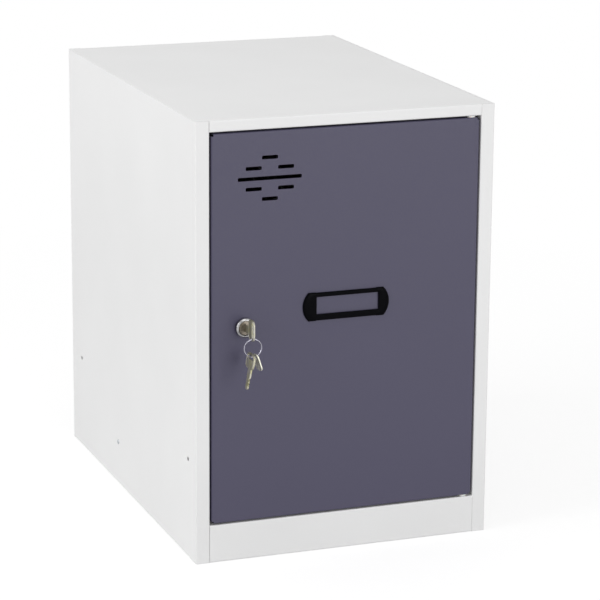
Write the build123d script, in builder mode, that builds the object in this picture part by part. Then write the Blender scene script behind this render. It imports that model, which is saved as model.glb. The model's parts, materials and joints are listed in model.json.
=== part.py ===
from build123d import *

import os
from math import cos, radians, sin, sqrt

# Cube locker: a folded sheet steel body with one inset door that turns on two
# pivot pins and closes with a cam lock. Millimetres, +Z up, the front faces -Y.
# The origin is on the floor, at the centre of the footprint.

# Body
width = 350.0
depth = 500.0
height = 500.0
sheet = 0.8
bend_radius = 0.8
corner_relief = 3.0
overrun = 5.0

# Front frame, plinth and flanges
frame_width = 16.2
rail_height = 12.5
frame_return = 21.0
stop_lip = 12.0
plinth_height = 43.5
floor_height = 60.0
back_flange = 15.0
base_flange = 15.0
top_flange = 12.0
floor_flange = 15.0

# Holes and rivets in the body
joining_hole = 5.0
joining_height = 115.0
joining_setback = 28.0
joining_back_setback = 42.0
base_hole = 7.0
base_hole_setback = 50.0
wall_hole = 8.0
wall_hole_setback = 50.0
wall_hole_drop = 40.0
rivet_shank = 3.2
rivet_head = 6.5
rivet_rise = 1.1
rivet_tail = 3.0
rivet_setback = 200.0

# Door
door_gap = 2.0
door_sheet = 0.8
door_depth = 16.0
door_lip = 12.0
door_relief = 2.6

# Vent slots
vent_from_edge = 67.0
vent_from_top = 51.8
vent_long = 73.5
vent_short = 18.4
vent_height = 4.2
vent_chamfer = 0.8
vent_pitch = 11.45
vent_side_step = 18.6

# Door stiffener
stiffener_width = 40.0
stiffener_foot = 12.0
stiffener_end_gap = 1.5

# Hinge pins and bushes
hinge_inset = 8.5
hinge_setback = 6.0
pin_diameter = 5.0
pin_head = 9.0
pin_head_height = 1.5
pin_reach = 10.0
bush_wall = 1.2
bush_flange = 10.0
bush_barrel = 6.0
running_clearance = 0.05
seat_gap = 0.3

# Door buffers
buffer_diameter = 10.0
buffer_stem = 4.0
buffer_tail = 6.0
buffer_tail_length = 2.0
buffer_taper = 1.0
buffer_from_middle = 150.0

# Cam lock
lock_from_edge = 38.0
lock_rise = 3.5
lock_head = 22.0
lock_head_height = 7.0
lock_head_chamfer = 1.2
lock_head_dish = 1.8
lock_rim = 2.2
barrel_diameter = 19.0
barrel_flats = 16.0
barrel_fit = 0.15
plug_diameter = 12.0
plug_face = 15.0
plug_face_height = 2.0
plug_face_setback = 2.0
nut_across_flats = 23.0
nut_height = 4.5
cam_reach = 38.0
cam_width = 17.0
cam_tip_width = 13.0
cam_thickness = 2.0
cam_square = 7.0
washer_diameter = 11.0
washer_thickness = 0.8
screw_shank = 4.0
screw_length = 9.0
screw_head = 8.0
screw_head_height = 2.6
screw_slot = 1.0

# Keys
key_thickness = 1.8
key_reach = 33.0
bow_length = 17.0
bow_height = 23.4
bow_corner = 6.0
bow_rise = 2.5
bow_end_rim = 2.6
bow_slot_width = 4.0
bow_slot_length = 20.0
neck_length = 9.0
neck_height = 9.0
blade_length = 13.6
blade_height = 6.6
blade_tip = 1.8
bitting_pitch = 2.4
bitting_depth = 1.5
groove_width = 1.2
groove_depth = 0.4
keyway_clearance = 0.15

# Key ring and tag
ring_diameter = 21.0
wire_diameter = 1.1
ring_turn_pitch = 0.9
ring_slack = 0.5
hang_slack = 0.65
spare_lean = 10.0
tag_lean = 18.0
tag_turn = 12.0
tag_length = 20.0
tag_width = 12.0
tag_corner = 4.5
tag_thickness = 1.4
tag_hole = 5.0
tag_hole_edge = 1.5

# Card holder
holder_rise = 19.6
holder_width = 102.0
holder_height = 32.4
holder_bow = 6.6
holder_cap = 9.0
holder_waist = 0.4
holder_thickness = 2.6
holder_round = 0.7
holder_left_end = 16.0
holder_right_end = 12.8
holder_top_rail = 5.3
holder_bottom_rail = 7.6
card_margin = 2.5
card_room = 0.9
peg_width = 3.0
peg_length = 4.0
peg_inset = 7.0

# Planes and edges that the pieces share
front = -depth / 2
back = depth / 2
half_sheet = sheet / 2
fold = bend_radius + half_sheet
wall_outside = width / 2
wall_inside = wall_outside - sheet
opening_half = wall_outside - frame_width
lip_half = opening_half - stop_lip
lip_back = front + frame_return
lip_front = lip_back - sheet
head = height - rail_height
sill = plinth_height
back_inside = back - 2 * sheet
flange_half = wall_outside - back_flange - corner_relief
rivet_y = back - rivet_setback
rivet_z = floor_height - floor_flange / 2

door_half = opening_half - door_gap
door_bottom = sill + door_gap
door_top = head - door_gap
door_middle = (door_bottom + door_top) / 2
door_height = door_top - door_bottom
door_skin = front + door_sheet
door_lip_front = front + door_depth - door_sheet
half_door_sheet = door_sheet / 2
door_fold = bend_radius + half_door_sheet

hinge_x = door_half - hinge_inset
hinge_y = front + hinge_setback
hinge_axis = Axis((hinge_x, hinge_y, 0), (0, 0, 1))
hinge_plane = Plane.XZ.offset(-hinge_y)
pin_radius = pin_diameter / 2
bush_bore = pin_radius + running_clearance
bush_radius = bush_bore + bush_wall
bush_hole = bush_radius + running_clearance

face_plane = Plane.XZ.offset(-front)
lock_x = -door_half + lock_from_edge
lock_z = door_middle + lock_rise
lock_axis = Axis((lock_x, front, lock_z), (0, 1, 0))
lock_plane = Plane(origin=(lock_x, front, lock_z), x_dir=(1, 0, 0), z_dir=(0, 0, 1))
cam_front = frame_return + seat_gap
barrel_length = cam_front - seat_gap
keyway_height = blade_height + 2 * keyway_clearance
keyway_width = key_thickness + 2 * keyway_clearance

holder_z = door_middle + holder_rise
peg_spacing = holder_width - 2 * peg_inset

wire_radius = wire_diameter / 2
ring_radius = ring_diameter / 2 - wire_radius
ring_y = front - key_reach + bow_end_rim + bow_slot_width / 2
bow_z = lock_z + bow_rise
ring_z = bow_z - bow_slot_length / 2 + ring_slack + wire_radius - ring_radius


def folded(plane, thickness, radius, *points):
    """Cross-section of a folded sheet whose middle line runs through the points."""
    with BuildSketch(plane) as drawn:
        with BuildLine():
            FilletPolyline(*points, radius=radius)
        trace(line_width=thickness)
    return drawn.sketch


def outline(plane, *points):
    """Flat shape inside the closed line through the points."""
    with BuildSketch(plane) as drawn:
        with BuildLine():
            Polyline(*points, close=True)
        make_face()
    return drawn.sketch


# Right side panel: wall, front flange, return, stop lip, back flange and base flange
wall_middle = wall_outside - half_sheet
base_fold_top = 2 * fold
base_front = lip_back + corner_relief
base_back = back_inside - corner_relief

with BuildPart() as right_side_panel:
    extrude(
        folded(
            Plane.XY,
            sheet,
            fold,
            (lip_half, lip_back - half_sheet),
            (opening_half + half_sheet, lip_back - half_sheet),
            (opening_half + half_sheet, front + half_sheet),
            (wall_middle, front + half_sheet),
            (wall_middle, back - half_sheet),
            (wall_outside - back_flange, back - half_sheet),
        ),
        amount=height,
    )
    # The top panel drops in flush between the walls
    with BuildSketch(Plane.XY.offset(height - sheet)):
        Rectangle(2 * wall_inside, depth - 2 * sheet)
    extrude(amount=overrun, mode=Mode.SUBTRACT)
    # The foot of the wall turns in under the locker
    with BuildSketch(Plane.XY):
        with Locations((wall_outside, (base_front + base_back) / 2)):
            Rectangle(4 * sheet, base_back - base_front)
    extrude(amount=base_fold_top, mode=Mode.SUBTRACT)
    extrude(
        folded(
            Plane.XZ.offset(-base_back),
            sheet,
            fold,
            (wall_middle, base_fold_top),
            (wall_middle, half_sheet),
            (wall_outside - base_flange, half_sheet),
        ),
        amount=base_back - base_front,
    )
    with BuildSketch(Plane.XY):
        with Locations((wall_outside - base_flange / 2, 0)):
            with GridLocations(0, depth - 2 * base_hole_setback, 1, 2):
                Circle(base_hole / 2)
    extrude(amount=sheet, mode=Mode.SUBTRACT)
    with BuildSketch(Plane.YZ.offset(wall_inside)):
        with Locations((front + joining_setback, joining_height)):
            Circle(joining_hole / 2)
        with Locations((back - joining_back_setback, joining_height)):
            Circle(joining_hole / 2)
        with Locations((rivet_y, rivet_z)):
            Circle(rivet_shank / 2)
    extrude(amount=sheet, mode=Mode.SUBTRACT)
right_side_panel.part.label = "right_side_panel"

# Left side panel: the mirror image, with holes for the door buffers in its stop lip
buffer_x = -(lip_half + stop_lip / 2)
buffer_heights = (door_middle - buffer_from_middle, door_middle + buffer_from_middle)

with BuildPart() as left_side_panel:
    mirror(right_side_panel.part, about=Plane.YZ)
    with BuildSketch(Plane.XZ.offset(-lip_back)):
        with Locations(*[(buffer_x, z) for z in buffer_heights]):
            Circle(buffer_stem / 2)
    extrude(amount=sheet, mode=Mode.SUBTRACT)
left_side_panel.part.label = "left_side_panel"

# Top panel: front rail with its return and stop lip, side flanges and back flange
rail_points = (
    (lip_back - half_sheet, head + half_sheet),
    (front + half_sheet, head + half_sheet),
    (front + half_sheet, height - half_sheet),
    (0, height - half_sheet),
)
rail_end = lip_front - bend_radius
top_flange_end = height - top_flange

with BuildPart() as top_panel:
    extrude(
        folded(
            Plane.YZ,
            sheet,
            fold,
            (lip_back - half_sheet, head - stop_lip),
            *rail_points,
        ),
        amount=lip_half,
        both=True,
    )
    extrude(
        folded(Plane.YZ, sheet, fold, (rail_end, head + half_sheet), *rail_points[1:]),
        amount=opening_half,
        both=True,
    )
    extrude(
        folded(
            Plane.YZ,
            sheet,
            fold,
            (back - half_sheet, top_flange_end),
            (back - half_sheet, height - half_sheet),
            (0, height - half_sheet),
        ),
        amount=flange_half,
        both=True,
    )
    extrude(
        folded(
            Plane.XZ,
            sheet,
            fold,
            (-wall_inside + half_sheet, top_flange_end),
            (-wall_inside + half_sheet, height - half_sheet),
            (wall_inside - half_sheet, height - half_sheet),
            (wall_inside - half_sheet, top_flange_end),
        ),
        amount=depth / 2 - sheet - bend_radius,
        both=True,
    )
    # Pivot hole for the upper hinge pin
    with BuildSketch(Plane.XY.offset(head)):
        with Locations((hinge_x, hinge_y)):
            Circle(pin_radius)
    extrude(amount=sheet, mode=Mode.SUBTRACT)
top_panel.part.label = "top_panel"

# Back panel: sheet inside the back flanges, turned forward at its foot
back_middle = back - sheet - half_sheet
back_half = wall_inside - bend_radius
back_top = height - sheet - bend_radius

with BuildPart() as back_panel:
    extrude(
        folded(
            Plane.YZ,
            sheet,
            fold,
            (back - sheet - base_flange, half_sheet),
            (back_middle, half_sheet),
            (back_middle, back_top),
        ),
        amount=flange_half,
        both=True,
    )
    with BuildSketch(Plane.XZ.offset(-back_inside)):
        with Locations((0, (back_top + base_fold_top) / 2)):
            Rectangle(2 * back_half, back_top - base_fold_top)
    extrude(amount=-sheet)
    with BuildSketch(Plane.XZ.offset(-back_inside)):
        with Locations((0, height - wall_hole_drop)):
            with GridLocations(width - 2 * wall_hole_setback, 0, 2, 1):
                Circle(wall_hole / 2)
    extrude(amount=-sheet, mode=Mode.SUBTRACT)
back_panel.part.label = "back_panel"

# Floor pan: flat floor with four turned-down flanges
floor_middle = floor_height - half_sheet
floor_flange_end = floor_height - floor_flange

with BuildPart() as floor_pan:
    extrude(
        folded(
            Plane.YZ,
            sheet,
            fold,
            (lip_back + half_sheet, floor_flange_end),
            (lip_back + half_sheet, floor_middle),
            (back_inside - half_sheet, floor_middle),
            (back_inside - half_sheet, floor_flange_end),
        ),
        amount=wall_inside - corner_relief,
        both=True,
    )
    extrude(
        folded(
            Plane.XZ.offset(-base_back),
            sheet,
            fold,
            (-wall_inside + half_sheet, floor_flange_end),
            (-wall_inside + half_sheet, floor_middle),
            (wall_inside - half_sheet, floor_middle),
            (wall_inside - half_sheet, floor_flange_end),
        ),
        amount=base_back - base_front,
    )
    with BuildSketch(Plane.YZ):
        with Locations((rivet_y, rivet_z)):
            Circle(rivet_shank / 2)
    extrude(amount=wall_inside, both=True, mode=Mode.SUBTRACT)
floor_pan.part.label = "floor_pan"

# Plinth: base flange, front, sill and the riser that the door's foot closes on
plinth_points = (
    (front + base_flange, half_sheet),
    (front + half_sheet, half_sheet),
    (front + half_sheet, sill - half_sheet),
)

with BuildPart() as plinth:
    extrude(
        folded(
            Plane.YZ,
            sheet,
            fold,
            *plinth_points,
            (lip_back - half_sheet, sill - half_sheet),
            (lip_back - half_sheet, sill + stop_lip),
        ),
        amount=lip_half,
        both=True,
    )
    extrude(
        folded(Plane.YZ, sheet, fold, *plinth_points, (rail_end, sill - half_sheet)),
        amount=opening_half,
        both=True,
    )
    # Pivot hole for the lower hinge pin
    with BuildSketch(Plane.XY.offset(sill)):
        with Locations((hinge_x, hinge_y)):
            Circle(pin_radius)
    extrude(amount=-sheet, mode=Mode.SUBTRACT)
plinth.part.label = "plinth"


def hinge_pin(seat, up):
    """Half outline of a headed pin whose head lies on the sheet face at seat height."""
    head_top = seat - up * pin_head_height
    tip = seat + up * (sheet + pin_reach)
    return outline(
        hinge_plane,
        (hinge_x, head_top),
        (hinge_x + pin_head / 2, head_top),
        (hinge_x + pin_head / 2, seat),
        (hinge_x + pin_radius, seat),
        (hinge_x + pin_radius, tip),
        (hinge_x, tip),
    )


def hinge_bush(edge, into):
    """Half outline of a flanged bush that is pushed into the door's return."""
    flange = edge - into * (door_gap - seat_gap)
    end = edge + into * bush_barrel
    return outline(
        hinge_plane,
        (hinge_x + bush_bore, flange),
        (hinge_x + bush_flange / 2, flange),
        (hinge_x + bush_flange / 2, edge),
        (hinge_x + bush_radius, edge),
        (hinge_x + bush_radius, end),
        (hinge_x + bush_bore, end),
    )


# Hinge pins, riveted into the top rail and the sill
with BuildPart() as upper_hinge_pin:
    revolve(hinge_pin(head + sheet, -1), axis=hinge_axis)
upper_hinge_pin.part.label = "upper_hinge_pin"

with BuildPart() as lower_hinge_pin:
    revolve(hinge_pin(sill - sheet, 1), axis=hinge_axis)
lower_hinge_pin.part.label = "lower_hinge_pin"

# Door buffers: rubber mushrooms pressed into the left stop lip
buffer_face = front + door_depth + seat_gap

with BuildPart() as door_buffers:
    for buffer_z in buffer_heights:
        buffer_plane = Plane(origin=(buffer_x, lip_front, buffer_z), x_dir=(1, 0, 0), z_dir=(0, 0, 1))
        buffer_height = lip_front - buffer_face
        revolve(
            outline(
                buffer_plane,
                (0, -buffer_height),
                (buffer_diameter / 2 - buffer_taper, -buffer_height),
                (buffer_diameter / 2, 0),
                (buffer_stem / 2, 0),
                (buffer_stem / 2, sheet),
                (buffer_tail / 2, sheet),
                (0, sheet + buffer_tail_length),
            ),
            axis=Axis((buffer_x, 0, buffer_z), (0, 1, 0)),
        )
door_buffers.part.label = "door_buffers"

# Floor rivets: blind rivets through each wall and the floor pan's flange
with BuildPart() as floor_rivets:
    for hand in (-1, 1):
        rivet_plane = Plane(
            origin=(hand * wall_outside, rivet_y, rivet_z), x_dir=(hand, 0, 0), z_dir=(0, 0, hand)
        )
        revolve(
            outline(
                rivet_plane,
                (rivet_rise, 0),
                (rivet_rise, rivet_head / 2 - rivet_rise),
                (0, rivet_head / 2),
                (0, rivet_shank / 2),
                (-2 * sheet, rivet_shank / 2),
                (-2 * sheet, rivet_head / 2 - rivet_rise),
                (-2 * sheet - rivet_tail, 0),
            ),
            axis=Axis((0, rivet_y, rivet_z), (1, 0, 0)),
        )
floor_rivets.part.label = "floor_rivets"

# Door: a pan folded on four edges, notched at its corners
with BuildPart() as door_panel:
    extrude(
        folded(
            Plane.XY.offset(door_bottom + door_relief),
            door_sheet,
            door_fold,
            (-door_half + door_lip, door_lip_front + half_door_sheet),
            (-door_half + half_door_sheet, door_lip_front + half_door_sheet),
            (-door_half + half_door_sheet, front + half_door_sheet),
            (door_half - half_door_sheet, front + half_door_sheet),
            (door_half - half_door_sheet, door_lip_front + half_door_sheet),
            (door_half - door_lip, door_lip_front + half_door_sheet),
        ),
        amount=door_height - 2 * door_relief,
    )
    extrude(
        folded(
            Plane.YZ,
            door_sheet,
            door_fold,
            (door_lip_front + half_door_sheet, door_bottom + door_lip),
            (door_lip_front + half_door_sheet, door_bottom + half_door_sheet),
            (front + half_door_sheet, door_bottom + half_door_sheet),
            (front + half_door_sheet, door_top - half_door_sheet),
            (door_lip_front + half_door_sheet, door_top - half_door_sheet),
            (door_lip_front + half_door_sheet, door_top - door_lip),
        ),
        amount=door_half - door_relief,
        both=True,
    )
    # Vent slots in a diamond
    with BuildSketch(face_plane):
        with Locations((-door_half + vent_from_edge, door_top - vent_from_top)):
            Rectangle(vent_long, vent_height)
            with GridLocations(0, 4 * vent_pitch, 1, 2):
                Rectangle(vent_short, vent_height)
            with GridLocations(2 * vent_side_step, 2 * vent_pitch, 2, 2):
                Rectangle(vent_short, vent_height)
        chamfer(vertices(), length=vent_chamfer)
    extrude(amount=-door_sheet, mode=Mode.SUBTRACT)
    # Flatted hole for the lock and square holes for the card holder's pegs
    with BuildSketch(face_plane):
        with Locations((lock_x, lock_z)):
            Circle(barrel_diameter / 2 + barrel_fit)
            Rectangle(barrel_flats + 2 * barrel_fit, 2 * barrel_diameter, mode=Mode.INTERSECT)
        with Locations((0, holder_z)):
            with GridLocations(peg_spacing, 0, 2, 1):
                Rectangle(peg_width, peg_width)
    extrude(amount=-door_sheet, mode=Mode.SUBTRACT)
    # Holes for the hinge bushes in the top and bottom returns
    with BuildSketch(Plane.XY.offset(door_bottom)):
        with Locations((hinge_x, hinge_y)):
            Circle(bush_hole)
    extrude(amount=door_sheet, mode=Mode.SUBTRACT)
    with BuildSketch(Plane.XY.offset(door_top)):
        with Locations((hinge_x, hinge_y)):
            Circle(bush_hole)
    extrude(amount=-door_sheet, mode=Mode.SUBTRACT)
door_panel.part.label = "door_panel"

# Stiffener: a top-hat channel between the door's skin and its lips
foot_middle = door_skin + half_door_sheet
crown_middle = door_lip_front - half_door_sheet
stiffener_foot_end = stiffener_width / 2 + stiffener_foot
stiffener_bottom = door_bottom + door_sheet + stiffener_end_gap

with BuildPart() as door_stiffener:
    extrude(
        folded(
            Plane.XY.offset(stiffener_bottom),
            door_sheet,
            door_fold,
            (-stiffener_foot_end, foot_middle),
            (-stiffener_width / 2, foot_middle),
            (-stiffener_width / 2, crown_middle),
            (stiffener_width / 2, crown_middle),
            (stiffener_width / 2, foot_middle),
            (stiffener_foot_end, foot_middle),
        ),
        amount=door_height - 2 * (door_sheet + stiffener_end_gap),
    )
door_stiffener.part.label = "door_stiffener"

# Hinge bushes, pushed into the door's returns
with BuildPart() as upper_hinge_bush:
    revolve(hinge_bush(door_top, -1), axis=hinge_axis)
upper_hinge_bush.part.label = "upper_hinge_bush"

with BuildPart() as lower_hinge_bush:
    revolve(hinge_bush(door_bottom, 1), axis=hinge_axis)
lower_hinge_bush.part.label = "lower_hinge_bush"

# Card holder: a moulded frame with bowed ends, a window and a pocket for the card
holder_plane = Plane(origin=(0, front, holder_z), x_dir=(1, 0, 0), z_dir=(0, -1, 0))
window_width = holder_width - holder_left_end - holder_right_end
window_height = holder_height - holder_top_rail - holder_bottom_rail
window_x = (holder_left_end - holder_right_end) / 2
window_z = holder_z + (holder_bottom_rail - holder_top_rail) / 2
window_plane = Plane(origin=(window_x, front, window_z), x_dir=(1, 0, 0), z_dir=(0, -1, 0))
holder_straight = holder_width / 2 - holder_bow
holder_edge = holder_height / 2

with BuildPart() as card_holder:
    with BuildSketch(holder_plane):
        with BuildLine():
            Line((-holder_straight, -holder_edge), (holder_straight, -holder_edge))
            ThreePointArc(
                (holder_straight, -holder_edge), (holder_width / 2, 0), (holder_straight, holder_edge)
            )
            Line((holder_straight, holder_edge), (-holder_straight, holder_edge))
            ThreePointArc(
                (-holder_straight, holder_edge), (-holder_width / 2, 0), (-holder_straight, -holder_edge)
            )
        make_face()
        # The rails between the two end caps are a little lower than the caps
        with Locations((0, holder_edge), (0, -holder_edge)):
            Rectangle(holder_width - 2 * (holder_bow + holder_cap), 2 * holder_waist, mode=Mode.SUBTRACT)
    extrude(amount=holder_thickness)
    chamfer(card_holder.faces().sort_by(Axis.Y)[0].edges(), length=holder_round)
    with BuildSketch(window_plane):
        Rectangle(window_width, window_height)
    extrude(amount=holder_thickness, mode=Mode.SUBTRACT)
    with BuildSketch(window_plane):
        Rectangle(window_width + 2 * card_margin, window_height + 2 * card_margin)
    extrude(amount=card_room, mode=Mode.SUBTRACT)
    with BuildSketch(holder_plane):
        with GridLocations(peg_spacing, 0, 2, 1):
            Rectangle(peg_width, peg_width)
    extrude(amount=-peg_length)
card_holder.part.label = "card_holder"

# Lock housing: a dished head in front of the door and a flatted barrel behind it
plug_bore = plug_diameter / 2 + running_clearance
face_bore = plug_face / 2 + running_clearance
head_radius = lock_head / 2
face_floor = -lock_head_height + plug_face_setback + plug_face_height + running_clearance

with BuildPart() as lock_housing:
    revolve(
        outline(
            lock_plane,
            (head_radius - lock_head_chamfer, -lock_head_height),
            (head_radius, -lock_head_height + lock_head_chamfer),
            (head_radius, 0),
            (barrel_diameter / 2, 0),
            (barrel_diameter / 2, barrel_length),
            (plug_bore, barrel_length),
            (plug_bore, face_floor),
            (face_bore, face_floor),
            (face_bore, -lock_head_height + lock_head_dish),
            (head_radius - lock_rim, -lock_head_height),
        ),
        axis=lock_axis,
    )
    # Flats on the two sides of the barrel
    with BuildSketch(face_plane):
        with Locations((lock_x, lock_z)):
            Rectangle(2 * barrel_diameter, 2 * barrel_diameter)
            Rectangle(barrel_flats, 2 * barrel_diameter, mode=Mode.SUBTRACT)
    extrude(amount=-barrel_length, mode=Mode.SUBTRACT)
lock_housing.part.label = "lock_housing"

# Lock nut: a hexagon nut against the inside of the door's skin
with BuildPart() as lock_nut:
    with BuildSketch(face_plane.offset(-door_sheet)):
        with Locations((lock_x, lock_z)):
            RegularPolygon(nut_across_flats / 2, 6, major_radius=False)
            Circle(barrel_diameter / 2, mode=Mode.SUBTRACT)
    extrude(amount=-nut_height)
lock_nut.part.label = "lock_nut"

# Lock plug: a turned core with a front face, a keyway and a square end for the cam
plug_front = -lock_head_height + plug_face_setback
plug_back = cam_front
cam_plane = face_plane.offset(-cam_front)
keyway_end = bow_length + neck_length + blade_length - key_reach + seat_gap

with BuildPart() as lock_plug:
    revolve(
        outline(
            lock_plane,
            (0, plug_front),
            (plug_face / 2, plug_front),
            (plug_face / 2, plug_front + plug_face_height),
            (plug_diameter / 2, plug_front + plug_face_height),
            (plug_diameter / 2, plug_back),
            (0, plug_back),
        ),
        axis=lock_axis,
    )
    with BuildSketch(cam_plane):
        with Locations((lock_x, lock_z)):
            Rectangle(cam_square, cam_square)
    extrude(amount=-cam_thickness)
    with BuildSketch(face_plane.offset(-keyway_end)):
        with Locations((lock_x, lock_z)):
            Rectangle(keyway_width, keyway_height)
    extrude(amount=keyway_end - plug_front, mode=Mode.SUBTRACT)
    with BuildSketch(cam_plane.offset(-cam_thickness)):
        with Locations((lock_x, lock_z)):
            Circle(screw_shank / 2)
    extrude(amount=screw_length, mode=Mode.SUBTRACT)
lock_plug.part.label = "lock_plug"

# Cam: hangs down when unlocked and turns a quarter turn behind the stop lip
with BuildPart() as lock_cam:
    with BuildSketch(cam_plane):
        with Locations((lock_x, lock_z)):
            Circle(cam_width / 2)
        with BuildLine():
            Polyline(
                (lock_x - cam_width / 2, lock_z),
                (lock_x + cam_width / 2, lock_z),
                (lock_x + cam_tip_width / 2, lock_z - cam_reach + cam_tip_width / 4),
                (lock_x + cam_tip_width / 4, lock_z - cam_reach),
                (lock_x - cam_tip_width / 4, lock_z - cam_reach),
                (lock_x - cam_tip_width / 2, lock_z - cam_reach + cam_tip_width / 4),
                close=True,
            )
        make_face()
        with Locations((lock_x, lock_z)):
            Rectangle(cam_square, cam_square, mode=Mode.SUBTRACT)
    extrude(amount=-cam_thickness)
lock_cam.part.label = "lock_cam"

# Washer and screw that hold the cam on the plug
with BuildPart() as cam_washer:
    with BuildSketch(cam_plane.offset(-cam_thickness)):
        with Locations((lock_x, lock_z)):
            Circle(washer_diameter / 2)
            Circle(screw_shank / 2, mode=Mode.SUBTRACT)
    extrude(amount=-washer_thickness)
cam_washer.part.label = "cam_washer"

screw_seat = cam_front + cam_thickness + washer_thickness

with BuildPart() as cam_screw:
    revolve(
        outline(
            lock_plane,
            (0, screw_seat - washer_thickness - screw_length),
            (screw_shank / 2, screw_seat - washer_thickness - screw_length),
            (screw_shank / 2, screw_seat),
            (screw_head / 2, screw_seat),
            (screw_head / 2, screw_seat + screw_head_height),
            (0, screw_seat + screw_head_height),
        ),
        axis=lock_axis,
    )
    with BuildSketch(face_plane.offset(-screw_seat - screw_head_height)):
        with Locations((lock_x, lock_z)):
            Rectangle(screw_slot, screw_head)
    extrude(amount=screw_head_height / 2, mode=Mode.SUBTRACT)
cam_screw.part.label = "cam_screw"


def key_outline(plane):
    """A stamped key: the bow's end at the origin, the tip along +x, the blade below the bow's middle."""
    shoulder = bow_length + neck_length
    tip = shoulder + blade_length
    lower = -bow_rise - blade_height / 2
    upper = -bow_rise + blade_height / 2
    cuts = [shoulder + bitting_pitch * (step + 1) for step in range(int(blade_length / bitting_pitch) - 1)]
    with BuildSketch(plane) as drawn:
        with Locations((bow_length / 2, 0)):
            RectangleRounded(bow_length, bow_height, bow_corner)
        with Locations((bow_length + neck_length / 2 - bow_corner / 2, -bow_rise)):
            Rectangle(neck_length + bow_corner, neck_height)
        with BuildLine():
            Polyline(
                (shoulder - neck_length / 2, lower),
                (tip - blade_tip, lower),
                (tip, lower + blade_tip),
                (tip, upper - blade_tip),
                (tip - blade_tip, upper),
                (shoulder - neck_length / 2, upper),
                close=True,
            )
        make_face()
        for number, place in enumerate(cuts):
            deep = bitting_depth / (1 + number % 2)
            with BuildLine():
                Polyline(
                    (place - bitting_pitch / 2, lower),
                    (place, lower + deep),
                    (place + bitting_pitch / 2, lower),
                    close=True,
                )
            make_face(mode=Mode.SUBTRACT)
        with Locations((bow_end_rim + bow_slot_width / 2, 0)):
            Rectangle(bow_slot_width, bow_slot_length, mode=Mode.SUBTRACT)
    return drawn.sketch


def key_groove(plane):
    """The groove milled along one side of the blade."""
    shoulder = bow_length + neck_length
    with BuildSketch(plane.offset(key_thickness / 2)) as drawn:
        with Locations((shoulder + blade_length / 2, groove_width - bow_rise)):
            Rectangle(blade_length, groove_width)
    return drawn.sketch


# Key in the lock, with its bow upright
key_plane = Plane(origin=(lock_x, front - key_reach, bow_z), x_dir=(0, 1, 0), z_dir=(1, 0, 0))

with BuildPart() as key:
    extrude(key_outline(key_plane), amount=key_thickness / 2, both=True)
    extrude(key_groove(key_plane), amount=-groove_depth, mode=Mode.SUBTRACT)
key.part.label = "key"

# Key ring: two turns of wire side by side, as one band, threaded through the key's bow
with BuildPart() as key_ring:
    with BuildSketch(Plane(origin=(lock_x, ring_y, ring_z), x_dir=(1, 0, 0), z_dir=(0, 0, 1))):
        with Locations((ring_radius, 0)):
            Rectangle(wire_diameter, ring_turn_pitch + wire_diameter)
    revolve(axis=Axis((lock_x, ring_y, ring_z), (0, 1, 0)))
key_ring.part.label = "key_ring"


# Spare key and tag: they hang from the ring, either side of its lowest point
def hanging_plane(lean, turn, wire_from_end):
    """Plane of a plate that hangs on the ring, its upper end at the origin, leaning and turned."""
    sine = sin(radians(lean))
    cosine = cos(radians(lean))
    reach = ring_radius - wire_from_end
    return Plane(
        origin=(lock_x + sine * reach, ring_y, ring_z - cosine * reach),
        x_dir=(sine, 0, -cosine),
        z_dir=(cosine * cos(radians(turn)), sin(radians(turn)), sine * cos(radians(turn))),
    )


spare_plane = hanging_plane(-spare_lean, 0, bow_end_rim + hang_slack + wire_radius)

with BuildPart() as spare_key:
    extrude(key_outline(spare_plane), amount=key_thickness / 2, both=True)
    extrude(key_groove(spare_plane), amount=-groove_depth, mode=Mode.SUBTRACT)
spare_key.part.label = "spare_key"

# The ring's two turns cross the turned tag's hole at a slant
slant_half = (ring_turn_pitch / cos(radians(tag_turn)) + tag_thickness * sin(radians(tag_turn))) / 2
tag_wire = sqrt((tag_hole / 2 - ring_slack - wire_radius) ** 2 - slant_half**2)
tag_plane = hanging_plane(tag_lean, tag_turn, tag_hole_edge + tag_hole / 2 - tag_wire)

with BuildPart() as key_tag:
    with BuildSketch(tag_plane):
        with Locations((tag_length / 2, 0)):
            RectangleRounded(tag_length, tag_width, tag_corner)
        with Locations((tag_hole_edge + tag_hole / 2, 0)):
            Circle(tag_hole / 2, mode=Mode.SUBTRACT)
    extrude(amount=tag_thickness / 2, both=True)
key_tag.part.label = "key_tag"

os.makedirs("parts", exist_ok=True)
pieces = (
    left_side_panel,
    right_side_panel,
    top_panel,
    back_panel,
    floor_pan,
    plinth,
    upper_hinge_pin,
    lower_hinge_pin,
    door_buffers,
    floor_rivets,
    door_panel,
    door_stiffener,
    upper_hinge_bush,
    lower_hinge_bush,
    card_holder,
    lock_housing,
    lock_nut,
    lock_plug,
    lock_cam,
    cam_washer,
    cam_screw,
    key,
    key_ring,
    spare_key,
    key_tag,
)
for piece in pieces:
    export_step(piece.part, f"parts/{piece.part.label}.step")
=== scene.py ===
"""Cube locker: its finishes, its small fittings in full detail, and a plain studio.

Metres, +Z up, the front faces -Y, as in the CAD model that it is built around.
"""

import json
from math import cos, pi, radians, sin, sqrt

import bmesh
import bpy
from bpy.props import FloatProperty, FloatVectorProperty, PointerProperty
from bpy.types import Operator, Panel, PropertyGroup
from mathutils import Matrix, Vector


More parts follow.
